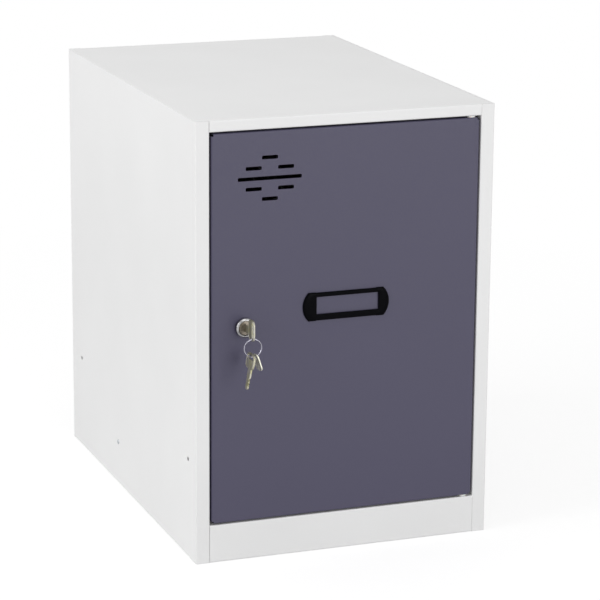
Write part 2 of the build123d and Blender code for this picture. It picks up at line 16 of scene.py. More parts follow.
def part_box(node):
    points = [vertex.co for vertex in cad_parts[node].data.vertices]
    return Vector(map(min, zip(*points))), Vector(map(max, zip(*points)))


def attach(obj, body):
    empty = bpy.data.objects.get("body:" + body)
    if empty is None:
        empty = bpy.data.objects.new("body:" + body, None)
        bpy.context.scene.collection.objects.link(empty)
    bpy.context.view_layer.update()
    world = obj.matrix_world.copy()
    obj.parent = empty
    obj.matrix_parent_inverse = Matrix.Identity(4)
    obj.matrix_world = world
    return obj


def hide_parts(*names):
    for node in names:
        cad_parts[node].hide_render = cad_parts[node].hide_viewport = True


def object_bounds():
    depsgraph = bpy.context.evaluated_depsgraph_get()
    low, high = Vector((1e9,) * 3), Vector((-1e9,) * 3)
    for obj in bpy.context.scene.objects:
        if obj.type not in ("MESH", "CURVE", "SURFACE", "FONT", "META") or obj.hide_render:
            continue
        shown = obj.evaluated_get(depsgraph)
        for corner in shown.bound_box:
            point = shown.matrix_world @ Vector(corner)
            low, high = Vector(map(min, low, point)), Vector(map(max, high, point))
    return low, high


bl_info = {
    "name": "Cube locker",
    "version": (1, 0, 0),
    "blender": (4, 5, 0),
    "location": "3D View > Sidebar > Locker",
    "description": "Finishes, fittings and a studio for a one-door cube locker",
    "category": "Object",
}

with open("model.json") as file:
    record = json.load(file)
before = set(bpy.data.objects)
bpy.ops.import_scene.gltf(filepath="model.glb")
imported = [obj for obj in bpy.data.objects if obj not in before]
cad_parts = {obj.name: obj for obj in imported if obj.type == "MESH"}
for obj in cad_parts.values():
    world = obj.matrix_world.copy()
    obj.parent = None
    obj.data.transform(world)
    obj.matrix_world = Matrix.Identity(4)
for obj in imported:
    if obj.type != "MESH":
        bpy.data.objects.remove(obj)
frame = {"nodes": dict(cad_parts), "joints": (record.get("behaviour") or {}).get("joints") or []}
cad_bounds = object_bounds()

MM = 0.001
TURN = 2 * pi
ACROSS = Vector((1, 0, 0))
INWARD = Vector((0, 1, 0))
UPWARD = Vector((0, 0, 1))
# A wave texture turns through this angle for each unit of its scaled coordinates
WAVE_RADIANS = 20
# Kinds of node that the materials use again and again
NOISE = "ShaderNodeTexNoise"
MAPPING = "ShaderNodeMapping"
MAP_RANGE = "ShaderNodeMapRange"
MATH = "ShaderNodeMath"
# The studio: the floor's half width, the distances from its middle at which it starts to turn to
# plain white and at which it has, and the lamps' width and places
FLOOR_HALF = 1.5
FADE_START = 0.5
FADE_END = 1.4
LAMP_WIDTH = 1.8
LAMP_PLACES = {
    "side_lamp": (-2.8, -0.3, 1.5),
    "front_lamp": (1.0, -3.3, 0.7),
    "top_lamp": (-0.4, -0.6, 2.8),
}


def linear(code):
    """Linear red, green, blue and alpha of an sRGB hex colour."""
    parts = [int(code[place : place + 2], 16) / 255 for place in (0, 2, 4)]
    return [p / 12.92 if p <= 0.04045 else ((p + 0.055) / 1.055) ** 2.4 for p in parts] + [1.0]


def length_property(name, description, millimetres):
    """A length that the user can change, given here in millimetres."""
    return FloatProperty(
        name=name,
        description=description,
        default=millimetres * MM,
        min=0.0,
        precision=5,
        unit="LENGTH",
        subtype="DISTANCE",
    )


def colour_property(name, description, code):
    """A colour that the user can change, given here as sRGB hex."""
    return FloatVectorProperty(
        name=name,
        description=description,
        default=linear(code),
        size=4,
        min=0.0,
        max=1.0,
        subtype="COLOR",
    )


def angle_property(name, description, degrees):
    """An angle that the user can change, given here in degrees."""
    return FloatProperty(
        name=name, description=description, default=radians(degrees), subtype="ANGLE"
    )


def lamp_property(name, description, watts):
    """A lamp's power that the user can change."""
    return FloatProperty(name=name, description=description, default=watts, min=0.0, unit="POWER")


class LockerFinishes(PropertyGroup):
    """Colours of the locker's finishes."""

    body_paint: colour_property("Body paint", "Powder coat on the body", "EBEBEB")
    door_paint: colour_property("Door paint", "Powder coat on the door", "444158")
    nickel: colour_property("Nickel", "Plating on the lock's housing", "A6A5A6")
    # The plug's face is darker and browner than the housing, partly as tarnish and partly as
    # painted shade of the dish and the key in front of it
    plug: colour_property("Plug", "Face of the lock's plug, tarnished and with painted shade", "877F74")
    key_brass: colour_property("Key brass", "Brass that shows through the keys' plating", "A6A383")
    key_plating: colour_property("Key plating", "Nickel plating that is left on the keys", "B1AEAA")
    zinc: colour_property("Zinc", "Zinc plating on pins, rivets, nut, cam and screw", "B9BDC2")
    wire: colour_property("Ring wire", "Spring steel of the key ring", "A8A6B2")
    tag_brass: colour_property("Tag brass", "Nickel-washed brass of the blank key tag", "E3E2D3")
    moulding: colour_property("Card holder", "Black plastic of the card holder", "030306")
    nylon: colour_property("Nylon", "White nylon of the hinge bushes", "EFEEEA")
    rubber: colour_property("Rubber", "Black rubber of the door buffers", "1A1A1B")


class LockerFittings(PropertyGroup):
    """Sizes of the fittings that are built here over their CAD pieces."""

    edge: length_property("Edge", "Rounding of small metal edges", 0.18)
    barrel: length_property("Barrel", "Diameter of the lock's threaded barrel", 19.0)
    flats: length_property("Flats", "Distance between the barrel's two flats", 16.0)
    thread_pitch: length_property("Thread pitch", "Pitch of the barrel's thread", 1.0)
    thread_depth: length_property("Thread depth", "Depth of the barrel's thread", 0.55)
    head_round: length_property("Head rounding", "Rounding of the lock's head", 1.9)
    dish_depth: length_property("Dish depth", "Depth of the dish in the lock's head", 1.8)
    rim_width: length_property("Rim width", "Width of the rim round the dish", 2.2)
    face_height: length_property("Face height", "Thickness of the plug's front face", 2.0)
    running_clearance: length_property("Running clearance", "Room between plug and housing", 0.05)
    nut_chamfer: length_property("Nut chamfer", "Chamfer on the lock nut's corners", 0.9)
    wire: length_property("Ring wire", "Thickness of the key ring's wire", 1.1)
    bow_length: length_property("Bow length", "Length of the keys' bows", 17.0)
    bow_height: length_property("Bow height", "Height of the keys' bows", 23.4)
    bow_corner: length_property("Bow corner", "Corner radius of the keys' bows", 6.0)
    bow_hang: length_property("Bow hang", "From the bow's end to the ring's wire's middle", 3.8)
    rim_inset: length_property("Rim inset", "From the bow's edge to its raised rim", 0.9)
    rim_rise: length_property("Rim rise", "Height of the raised rim on the bows", 0.22)
    holder_bow: length_property("Holder bow", "Bow of the card holder's ends", 6.6)
    holder_cap: length_property("Holder cap", "Straight part of the card holder's caps", 9.0)
    holder_waist: length_property("Holder waist", "How far the rails are lower than the caps", 0.4)
    holder_edge: length_property("Holder edge", "Height of the card holder's outer wall", 1.5)
    holder_shoulder: length_property("Holder shoulder", "Width of the slope inside that wall", 1.7)
    holder_dome: length_property("Holder dome", "Rise of the caps at the card holder's ends", 0.5)
    left_end: length_property("Left end", "From the card holder's left end to its window", 16.0)
    right_end: length_property("Right end", "From the card holder's right end to its window", 12.8)
    top_rail: length_property("Top rail", "From the card holder's top to its window", 5.3)
    bottom_rail: length_property("Bottom rail", "From the card holder's foot to its window", 7.6)
    card_margin: length_property("Card margin", "The card's reach behind the window's edge", 2.5)
    card_room: length_property("Card room", "Depth of the pocket for the card", 0.9)
    peg_inset: length_property("Peg inset", "From the card holder's end to its peg", 7.0)
    peg_width: length_property("Peg width", "Width of the card holder's pegs", 3.0)
    pin_shank: length_property("Pin shank", "Diameter of the hinge pins", 5.0)
    pin_head_height: length_property("Pin head height", "Height of the hinge pins' heads", 1.5)
    bush_barrel: length_property("Bush barrel", "Diameter of the bushes' barrels", 7.5)
    bush_bore: length_property("Bush bore", "Diameter of the bushes' bores", 5.1)
    bush_flange: length_property("Bush flange", "Height of the bushes' flanges", 1.7)
    sheet: length_property("Sheet", "Thickness of the steel sheet", 0.8)
    rivet_shank: length_property("Rivet shank", "Diameter of the floor rivets", 3.2)
    buffer_stem: length_property("Buffer stem", "Diameter of the buffers' stems", 4.0)
    buffer_tail: length_property("Buffer tail", "Diameter of the buffers' tails", 6.0)
    buffer_tail_length: length_property("Buffer tail length", "Length of the buffers' tails", 2.0)
    weld_mark: length_property("Weld mark", "Diameter of the spot welds' marks", 6.4)


class LockerStudio(PropertyGroup):
    """The camera's place and the level of the light."""

    azimuth: angle_property("Azimuth", "Turn of the camera about the locker", -20.44)
    elevation: angle_property("Elevation", "Height of the camera above level", 14.74)
    roll: angle_property("Roll", "Tilt of the picture", 0.43)
    distance: length_property("Distance", "From the aim to the camera", 3271.0)
    aim_right: length_property("Aim right", "Aim's place across the picture from the origin", 36.6)
    aim_up: length_property("Aim up", "Aim's place up the picture from the origin", 220.0)
    lens: FloatProperty(
        name="Lens", description="Focal length on a 36 mm sensor", default=161.1, unit="CAMERA"
    )
    sky: FloatProperty(name="Sky", description="Even light from all round", default=0.6, min=0.0)
    side_lamp: lamp_property("Side lamp", "Light from the left", 36.0)
    front_lamp: lamp_property("Front lamp", "Light from the front", 35.0)
    top_lamp: lamp_property("Top lamp", "Light from above", 7.5)
    floor_glow: FloatProperty(
        name="Floor glow",
        description="Share of the white floor that holds in shadow",
        default=0.68,
        min=0.0,
        max=1.0,
    )


def add_node(tree, kind, sockets=(), **settings):
    """Adds a node, makes its settings, and fills its inputs with links or values."""
    made = tree.nodes.new(kind)
    for name, value in settings.items():
        setattr(made, name, value)
    for key, value in dict(sockets).items():
        if isinstance(value, bpy.types.NodeSocket):
            tree.links.new(value, made.inputs[key])
        else:
            made.inputs[key].default_value = value
    return made


def per_metre(millimetres):
    """Texture scale that gives a pattern of this real size."""
    return 1 / (millimetres * MM)


def blank_material(name, sockets):
    """A material with its shader's uniform values set, with its tree, shader and coordinates."""
    material = bpy.data.materials.new(name)
    material.use_nodes = True
    tree = material.node_tree
    shader = tree.nodes["Principled BSDF"]
    for key, value in sockets.items():
        shader.inputs[key].default_value = value
    place = add_node(tree, "ShaderNodeTexCoord").outputs["Object"]
    return material, tree, shader, place


def shaded(colour, factor):
    """The same colour, lighter or darker by a factor."""
    return [min(1.0, part * factor) for part in colour[:3]] + [1.0]


def finish_surface(tree, shader, tone, colours, gloss, roughness, relief, depth):
    """Lets three patterns work a surface: its colours, its roughness and its relief, in mm."""
    # Most of a pattern's values lie in this range
    spread = {"From Min": 0.3, "From Max": 0.7}
    share = add_node(tree, MAP_RANGE, {"Value": tone, **spread}).outputs[0]
    # The mix node keeps its share and its colours at sockets 0, 6 and 7, and its result at 2
    blend = {0: share, 6: colours[0], 7: colours[1]}
    mixed = add_node(tree, "ShaderNodeMix", blend, data_type="RGBA").outputs[2]
    ends = {"To Min": roughness[0], "To Max": roughness[1]}
    polish = add_node(tree, MAP_RANGE, {"Value": gloss, **spread, **ends}).outputs[0]
    bump = add_node(tree, "ShaderNodeBump", {"Height": relief, "Distance": depth * MM}).outputs[0]
    for socket, result in (("Base Color", mixed), ("Roughness", polish), ("Normal", bump)):
        tree.links.new(result, shader.inputs[socket])


def powder_coat(name, colour):
    """Polyester powder, sprayed dry and baked: satin, with orange peel and a faint cloudiness."""
    material, tree, shader, place = blank_material(name, {"IOR": 1.5})
    # Orange peel is some 2 mm across; it is drawn at 3.5 mm so that it shows in gloss
    cloud, grain, peel = (
        add_node(tree, NOISE, {"Vector": place, "Scale": per_metre(size)}).outputs["Fac"]
        for size in (140, 1.5, 3.5)
    )
    colours = shaded(colour, 0.985), shaded(colour, 1.012)
    finish_surface(tree, shader, cloud, colours, grain, (0.44, 0.56), peel, 0.05)
    return material


def moulded_plastic(name, colour):
    """ABS moulded in a spark-eroded tool: deep black, dull, with a fine even grain."""
    # The real plastic mirrors next to nothing, so its specular level is far below the usual 0.5
    material, tree, shader, place = blank_material(name, {"IOR": 1.53, "Specular IOR Level": 0.03})
    grain, sheen = (
        add_node(
            tree, NOISE, {"Vector": place, "Scale": per_metre(size), "Detail": 4.0}
        ).outputs["Fac"]
        for size in (0.7, 12)
    )
    colours = shaded(colour, 0.6), shaded(colour, 1.4)
    finish_surface(tree, shader, grain, colours, sheen, (0.28, 0.38), grain, 0.03)
    return material


def plated_metal(name, colour, roughness, brushed=(1.0, 1.0, 1.0)):
    """Plating over metal: bright, with faint clouds, and hairlines where the metal was brushed."""
    material, tree, shader, place = blank_material(name, {"Metallic": 1.0})
    drawn = add_node(tree, MAPPING, {"Vector": place, "Scale": brushed}).outputs[0]
    cloud, hairs = (
        add_node(
            tree, NOISE, {"Vector": where, "Scale": per_metre(size), "Detail": 3.0}
        ).outputs["Fac"]
        for where, size in ((place, 6), (drawn, 0.35))
    )
    colours = shaded(colour, 0.86), shaded(colour, 1.08)
    polish = roughness * 0.8, roughness * 1.25
    finish_surface(tree, shader, cloud, colours, hairs, polish, hairs, 0.01)
    return material


def turned_nickel(name, colour, roughness):
    """Nickel on a turned zinc casting: rings about its axis, and a painted highlight high on the
    head with painted shade low on it.
    """
    material, tree, shader, place = blank_material(name, {"Metallic": 1.0})
    centred = {"Vector": place, "Location": -middle("lock_plug")}
    about = add_node(tree, MAPPING, centred).outputs[0]
    # Tool marks are finer than 0.1 mm; they are drawn at 0.8 mm so that they show
    marks = {
        "Vector": about,
        "Scale": per_metre(0.8) * TURN / WAVE_RADIANS,
        "Distortion": 0.6,
        "Detail": 2.0,
        "Detail Scale": 3.0,
    }
    about_y = {"wave_type": "RINGS", "rings_direction": "Y"}
    rings = add_node(tree, "ShaderNodeTexWave", marks, **about_y).outputs["Fac"]
    cloud = add_node(tree, NOISE, {"Vector": place, "Scale": per_metre(5)}).outputs["Fac"]
    # Painted highlight and shade: the colour grows lighter towards the head's upper side and darker
    # towards its lower side
    height = add_node(tree, "ShaderNodeSeparateXYZ", {"Vector": about}).outputs["Z"]
    ends = {"From Min": -9 * MM, "From Max": 9 * MM, "To Min": -0.12, "To Max": 0.12}
    painted_top_light = add_node(tree, MAP_RANGE, {"Value": height, **ends}).outputs[0]
    tone = add_node(tree, MATH, {0: cloud, 1: painted_top_light}, operation="ADD").outputs[0]
    colours = shaded(colour, 0.6), shaded(colour, 1.25)
    polish = roughness * 0.8, roughness * 1.2
    finish_surface(tree, shader, tone, colours, rings, polish, rings, 0.008)
    return material


def worn_key_metal(name, brass, nickel):
    """Nickelled brass, milled: the thin plating has dulled, and has worn to brass in patches."""
    material, tree, shader, place = blank_material(name, {"Metallic": 1.0})
    drawn = add_node(tree, MAPPING, {"Vector": place, "Scale": (1.0, 1.0, 0.15)}).outputs[0]
    wear, scratches = (
        add_node(
            tree, NOISE, {"Vector": where, "Scale": per_metre(size), "Detail": 4.0}
        ).outputs["Fac"]
        for where, size in ((place, 7), (drawn, 0.4))
    )
    finish_surface(tree, shader, wear, (nickel, brass), scratches, (0.42, 0.56), scratches, 0.012)
    return material


def moulded_nylon(name, colour):
    """Natural white nylon: dull, a little translucent, with faint flow marks."""
    sockets = {"IOR": 1.53, "Subsurface Weight": 0.15, "Subsurface Scale": 0.5 * MM}
    material, tree, shader, place = blank_material(name, sockets)
    drawn = add_node(tree, MAPPING, {"Vector": place, "Scale": (1.0, 1.0, 0.3)}).outputs[0]
    flow = add_node(tree, NOISE, {"Vector": drawn, "Scale": per_metre(2.5)}).outputs["Fac"]
    colours = shaded(colour, 0.95), colour
    finish_surface(tree, shader, flow, colours, flow, (0.42, 0.52), flow, 0.02)
    return material


def moulded_rubber(name, colour):
    """Moulded black rubber: matt, with a dusty bloom and fine pores."""
    material, tree, shader, place = blank_material(name, {"IOR": 1.52, "Sheen Weight": 0.15})
    bloom, grain, pores = (
        add_node(tree, NOISE, {"Vector": place, "Scale": per_metre(size)}).outputs["Fac"]
        for size in (4, 1, 0.5)
    )
    colours = colour, shaded(colour, 1.6)
    finish_surface(tree, shader, bloom, colours, grain, (0.75, 0.9), pores, 0.03)
    return material


def material_for(slot):
    """The material of one of the record's slots, made the first time that a piece needs it."""
    finishes = bpy.context.scene.locker_finishes
    makers = {
        "body_paint": ("Light grey powder coat", powder_coat, finishes.body_paint),
        "door_paint": ("Slate powder coat", powder_coat, finishes.door_paint),
        "nickel": ("Turned nickel plate", turned_nickel, finishes.nickel, 0.2),
        # Its darker colour is partly tarnish and partly painted shade of the dish and the key
        "plug": ("Tarnished nickel plate", turned_nickel, finishes.plug, 0.4),
        "zinc_steel": ("Zinc-plated steel", plated_metal, finishes.zinc, 0.34),
        "key_nickel": (
            "Worn nickelled brass",
            worn_key_metal,
            finishes.key_brass,
            list(finishes.key_plating),
        ),
        "ring_wire": ("Drawn spring wire", plated_metal, finishes.wire, 0.16),
        "tag_brass": (
            "Brushed nickel-washed brass",
            plated_metal,
            finishes.tag_brass,
            0.45,
            (1.0, 0.12, 1.0),
        ),
        "black_plastic": ("Moulded black ABS", moulded_plastic, finishes.moulding),
        "white_nylon": ("Moulded white nylon", moulded_nylon, finishes.nylon),
        "black_rubber": ("Moulded black rubber", moulded_rubber, finishes.rubber),
    }
    name, make, colour, *rest = makers[slot]
    return bpy.data.materials.get(name) or make(name, list(colour), *rest)


def dress(piece, slot):
    """Gives a piece its slot's material."""
    piece.data.materials.clear()
    piece.data.materials.append(material_for(slot))
    return piece


def middle(node):
    """Middle of a CAD node's box."""
    low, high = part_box(node)
    return (low + high) / 2


def dress_nodes(slot, *names):
    """Gives CAD nodes their slot's material."""
    for name in names:
        dress(frame["nodes"][name], slot)


def round_edges(piece, width, steps, degrees):
    """Rounds the edges that bend by more than an angle, so that they catch the light."""
    bevel = piece.modifiers.new("Bevel", "BEVEL")
    bevel.width = width
    bevel.segments = steps
    bevel.limit_method = "ANGLE"
    bevel.angle_limit = radians(degrees)
    bevel.harden_normals = True


def ease_edges(names, width):
    """Rounds the sharp edges of CAD nodes with modifiers, once their faces are joined."""
    for name in names:
        piece = frame["nodes"][name]
        piece.modifiers.new("Weld", "WELD").merge_threshold = 0.001 * MM
        round_edges(piece, width, 2, 40)


def eased(points, radius, steps=4):
    """An open outline with each inner corner turned into a short curve."""
    made = [Vector(points[0])]
    for before, corner, after in zip(points, points[1:], points[2:]):
        before, corner, after = Vector(before), Vector(corner), Vector(after)
        reach = min(radius, (before - corner).length / 2, (after - corner).length / 2)
        start = corner + (before - corner).normalized() * reach
        end = corner + (after - corner).normalized() * reach
        for step in range(steps + 1):
            share = step / steps
            made.append(start.lerp(corner, share).lerp(corner.lerp(end, share), share))
    return made + [Vector(points[-1])]


def skin(mesh, loops, closed=False, capped=False):
    """Quads from each loop of points to the next, and on to the first where closed."""
    rings = [[mesh.verts.new(point) for point in loop] for loop in loops]
    following = rings[1:] + (rings[:1] if closed else [])
    for ring, other in zip(rings, following):
        for here in range(len(ring)):
            there = (here + 1) % len(ring)
            mesh.faces.new((ring[here], ring[there], other[there], other[here]))
    if capped:
        mesh.faces.new(rings[0][::-1])
        mesh.faces.new(rings[-1])


def spin(mesh, origin, axis, profile, steps, trim=None, closed=False):
    """A turned form: radii and reaches spun about an axis, each radius trimmed if asked."""
    side = axis.orthogonal().normalized()
    other = axis.cross(side)
    loops = []
    for radius, reach in profile:
        loop = []
        for step in range(steps):
            angle = TURN * step / steps
            spoke = side * cos(angle) + other * sin(angle)
            size = trim(spoke, angle, radius, reach) if trim else radius
            loop.append(origin + axis * reach + spoke * size)
        loops.append(loop)
    skin(mesh, loops, closed=closed, capped=not closed)


def make_piece(name, mesh, slot, body, replaced=(), sharp=35):
    """Turns a bmesh into a piece that rides on a body and stands for CAD nodes."""
    bmesh.ops.recalc_face_normals(mesh, faces=mesh.faces)
    data = bpy.data.meshes.new(name)
    mesh.to_mesh(data)
    mesh.free()
    data.shade_smooth()
    data.set_sharp_from_angle(angle=radians(sharp))
    piece = bpy.data.objects.new(name, data)
    bpy.context.scene.collection.objects.link(piece)
    dress(piece, slot)
    if replaced:
        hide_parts(*replaced)
    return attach(piece, body)


class LOCKER_OT_paint_body(Operator):
    """Powder coat on the folded sheets of the body"""

    bl_idname = "locker.paint_body"
    bl_label = "Paint body"

    def execute(self, context):
        dress_nodes(
            "body_paint",
            "left_side_panel",
            "right_side_panel",
            "top_panel",
            "back_panel",
            "floor_pan",
            "plinth",
        )
        return {"FINISHED"}


class LOCKER_OT_paint_door(Operator):
    """Powder coat on the door and its stiffener"""

    bl_idname = "locker.paint_door"
    bl_label = "Paint door"

    def execute(self, context):
        dress_nodes("door_paint", "door_panel", "door_stiffener")
        return {"FINISHED"}


def capped_quarter(half_width, half_height, bow, cap, waist):
    """Upper right quarter of a card holder's outline: a lower rail, a cap and a bowed end."""
    inner = half_width - bow - cap
    rail = [(inner * step / 6, half_height - waist) for step in range(7)]
    crest = [(inner + 2 * waist, half_height), (inner + cap / 2, half_height)]
    radius = (half_height**2 + bow**2) / (2 * bow)
    rises = [half_height * (1 - step / 6) for step in range(7)]
    arc = [(half_width - radius + sqrt(radius**2 - rise**2), rise) for rise in rises]
    return rail + crest + arc


def window_quarter(half_width, half_height):
    """Upper right quarter of a window, with as many points as the outline's quarter."""
    shares = (0, 0.15, 0.3, 0.45, 0.6, 0.75, 0.88, 0.93, 0.97)
    rail = [(half_width * share, half_height) for share in shares]
    return rail + [(half_width, half_height * (1 - step / 6)) for step in range(7)]


def mirrored_loop(quarter, depth, shift=(0.0, 0.0)):
    """The closed loop of a quarter's four mirror images, on the door's front at a depth."""
    right = quarter + [(x, -z) for x, z in reversed(quarter[:-1])]
    points = right + [(-x, z) for x, z in reversed(right[1:-1])]
    centre = middle("card_holder")
    across, up = centre.x + shift[0], centre.z + shift[1]
    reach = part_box("door_panel")[0].y - depth
    return [Vector((across + x, reach, up + z)) for x, z in points]


class LOCKER_OT_mould_card_holder(Operator):
    """Black card holder: domed caps, lower rails, a window with a bevelled lip, a pocket, pegs"""

    bl_idname = "locker.mould_card_holder"
    bl_label = "Mould card holder"

    def execute(self, context):
        sizes = context.scene.locker_fittings
        low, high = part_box("card_holder")
        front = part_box("door_panel")[0].y
        wide, tall = (high.x - low.x) / 2, (high.z - low.z) / 2
        bow, cap, waist = sizes.holder_bow, sizes.holder_cap, sizes.holder_waist
        slope = sizes.holder_shoulder
        left, right, top_rail, foot = (
            sizes.left_end,
            sizes.right_end,
            sizes.top_rail,
            sizes.bottom_rail,
        )
        top = front - low.y
        lip = 0.8 * MM
        window = (wide - (left + right) / 2, tall - (top_rail + foot) / 2)
        shift = ((left - right) / 2, (foot - top_rail) / 2)
        outline = capped_quarter(wide, tall, bow, cap, waist)
        inner = capped_quarter(wide - slope, tall - slope * 0.6, bow * 0.9, cap, waist)
        shoulder = mirrored_loop(inner, top)
        brink = mirrored_loop(window_quarter(window[0] + lip, window[1] + lip), top, shift)
        crowned = []
        for share in (0.2, 0.5, 0.8):
            loop = [start.lerp(end, share) for start, end in zip(shoulder, brink)]
            for point in loop:
                over = (abs(point.x - middle("card_holder").x) - window[0] + lip) / (bow + cap)
                point.y -= sizes.holder_dome * sin(pi * share) * min(1.0, max(0.0, over * 2))
            crowned.append(loop)
        opening = window_quarter(*window)
        pocket = window_quarter(window[0] + sizes.card_margin, window[1] + sizes.card_margin)
        mesh = bmesh.new()
        skin(
            mesh,
            [
                mirrored_loop(outline, 0.0),
                mirrored_loop(outline, sizes.holder_edge),
                shoulder,
                *crowned,
                brink,
                mirrored_loop(opening, top - lip, shift),
                mirrored_loop(opening, sizes.card_room, shift),
                mirrored_loop(pocket, sizes.card_room, shift),
                mirrored_loop(pocket, 0.0, shift),
            ],
            closed=True,
        )
        # Each peg passes the door's sheet, swells behind it and tapers to its tip
        for hand in (-1, 1):
            centre = middle("card_holder") + ACROSS * hand * (wide - sizes.peg_inset)
            reaches = (front - sizes.holder_edge / 2, front + 1.0 * MM, front + 2.0 * MM, high.y)
            loops = []
            for share, reach in zip((0.5, 0.5, 0.62, 0.36), reaches):
                half = sizes.peg_width * share
                corners = ((-half, -half), (half, -half), (half, half), (-half, half))
                loops.append([Vector((centre.x + x, reach, centre.z + z)) for x, z in corners])
            skin(mesh, loops, capped=True)
        holder = make_piece("card_holder_moulding", mesh, "black_plastic", "door", ["card_holder"])
        round_edges(holder, 0.35 * MM, 3, 25)
        return {"FINISHED"}


class LOCKER_OT_fit_lock(Operator):
    """Cam lock: a nickelled housing with a dished head and a threaded barrel, and its fittings"""

    bl_idname = "locker.fit_lock"
    bl_label = "Fit lock"

    def execute(self, context):
        sizes = context.scene.locker_fittings
        low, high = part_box("lock_housing")
        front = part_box("door_panel")[0].y
        centre = middle("lock_housing")
        origin = Vector((centre.x, front, centre.z))
        plug_low, plug_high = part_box("lock_plug")
        face = (plug_high.x - plug_low.x) / 2 + sizes.running_clearance
        ledge = 1.5 * MM
        bore = face - ledge
        head = (high.x - low.x) / 2
        proud = front - low.y
        barrel = sizes.barrel / 2
        end = high.y - front
        floor = plug_low.y - front + sizes.face_height + sizes.running_clearance
        front_profile = [
            (bore, end),
            (bore, floor),
            (face, floor),
            (face, -proud + sizes.dish_depth),
            (head - sizes.rim_width, -proud),
            (head - sizes.head_round * 0.9, -proud),
            (head, -proud + sizes.head_round * 0.9),
            (head, 0.0),
            (barrel, 0.0),
        ]
        profile = [tuple(point) for point in eased(front_profile, 0.5 * MM)]
        # Six loops for each turn of the thread, which ends short of the barrel's chamfered end
        pitch_step = sizes.thread_pitch / 6
        thread_start, plain_end, chamfer = 0.2 * MM, 1.0 * MM, 0.4 * MM
        rows = int((end - plain_end) / pitch_step)
        profile += [(barrel, thread_start + row * pitch_step) for row in range(1, rows)]
        profile += [(barrel - chamfer, end)]

        def thread_and_flats(spoke, angle, radius, reach):
            """Cuts the thread into the barrel and the flats off its sides."""
            if radius < barrel - 0.5 * MM or reach < 0.1 * MM or radius > barrel + 0.1 * MM:
                return radius
            turn = (reach / sizes.thread_pitch - angle / TURN) % 1
            radius -= sizes.thread_depth * abs(2 * turn - 1)
            return min(radius, sizes.flats / 2 / max(abs(spoke.x), 0.01))

        mesh = bmesh.new()
        spin(mesh, origin, INWARD, profile, steps=96, trim=thread_and_flats, closed=True)
        make_piece("lock_housing_casting", mesh, "nickel", "door", ["lock_housing"])

        nut_low, nut_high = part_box("lock_nut")
        half_flats = (nut_high.z - nut_low.z) / 2
        corner = half_flats / cos(pi / 6)
        thick = nut_high.y - nut_low.y
        nut_profile = [
            (barrel, chamfer),
            (barrel + chamfer, 0.0),
            (corner, 0.0),
            (corner, thick - sizes.nut_chamfer * 0.6),
            (half_flats - 0.2 * MM, thick),
            (barrel + chamfer, thick),
            (barrel, thick - chamfer),
        ]
        normals = [UPWARD * cos(side * pi / 3) + ACROSS * sin(side * pi / 3) for side in range(6)]

        def hexagon(spoke, angle, radius, reach):
            """Cuts the turned blank to six flats."""
            return min(radius, half_flats / max(spoke.dot(normal) for normal in normals))

        mesh = bmesh.new()
        place = Vector((centre.x, nut_low.y, centre.z))
        spin(mesh, place, INWARD, nut_profile, steps=96, trim=hexagon, closed=True)
        make_piece("clamp_nut", mesh, "zinc_steel", "door", ["lock_nut"])
        dress_nodes("plug", "lock_plug")
        dress_nodes("zinc_steel", "lock_cam", "cam_washer", "cam_screw")
        ease_edges(["lock_plug", "lock_cam", "cam_washer", "cam_screw"], sizes.edge)
        return {"FINISHED"}


def raise_bow_rims(name, body, end, along, normal, thickness, sizes):
    """Half-round rims, stamped up on both faces of a key's bow, just inside its edge."""
    across = normal.cross(along)
    reach_x = sizes.bow_length / 2 - sizes.rim_inset
    reach_y = sizes.bow_height / 2 - sizes.rim_inset
    corner = sizes.bow_corner - sizes.rim_inset
    centre = end + along * (sizes.bow_length / 2)
    path = []
    for turn, (x, y) in enumerate(((1, 1), (-1, 1), (-1, -1), (1, -1))):
        for step in range(9):
            angle = (turn + step / 8) * pi / 2
            spoke = along * cos(angle) + across * sin(angle)
            place = centre + along * x * (reach_x - corner) + across * y * (reach_y - corner)
            path.append((place, spoke))
    # The rim's half width, and how deep its foot goes into the bow
    half_rim, sunk = 0.35 * MM, 0.05 * MM
    mesh = bmesh.new()
    for hand in (1, -1):
        loops = []
        for place, spoke in path:
            loop = []
            for step in range(7):
                angle = pi * step / 6
                out = corner + half_rim * cos(angle)
                rise = thickness / 2 - sunk + (sizes.rim_rise + sunk) * sin(angle)
                loop.append(place + spoke * out + normal * hand * rise)
            loops.append(loop)
        skin(mesh, loops, closed=True)
    make_piece(name, mesh, "key_nickel", body)


class LOCKER_OT_cut_keys(Operator):
    """The key in the lock and the spare: worn nickelled brass with soft edges and stamped rims"""

    bl_idname = "locker.cut_keys"
    bl_label = "Cut keys"

    def execute(self, context):
        sizes = context.scene.locker_fittings
        dress_nodes("key_nickel", "key", "spare_key")
        ease_edges(["key", "spare_key"], sizes.edge)
        low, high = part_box("key")
        end = Vector(((low.x + high.x) / 2, low.y, high.z - sizes.bow_height / 2))
        raise_bow_rims("key_bow_rims", "lock", end, INWARD, ACROSS, high.x - low.x, sizes)
        swing = next(joint for joint in frame["joints"] if joint["name"] == "spare_key_swing")
        normal = Vector(swing["axis"])
        along = INWARD.cross(normal)
        end = Vector(swing["pos_m"]) - along * sizes.bow_hang
        raise_bow_rims("spare_bow_rims", "spare", end, along, normal, high.x - low.x, sizes)
        return {"FINISHED"}


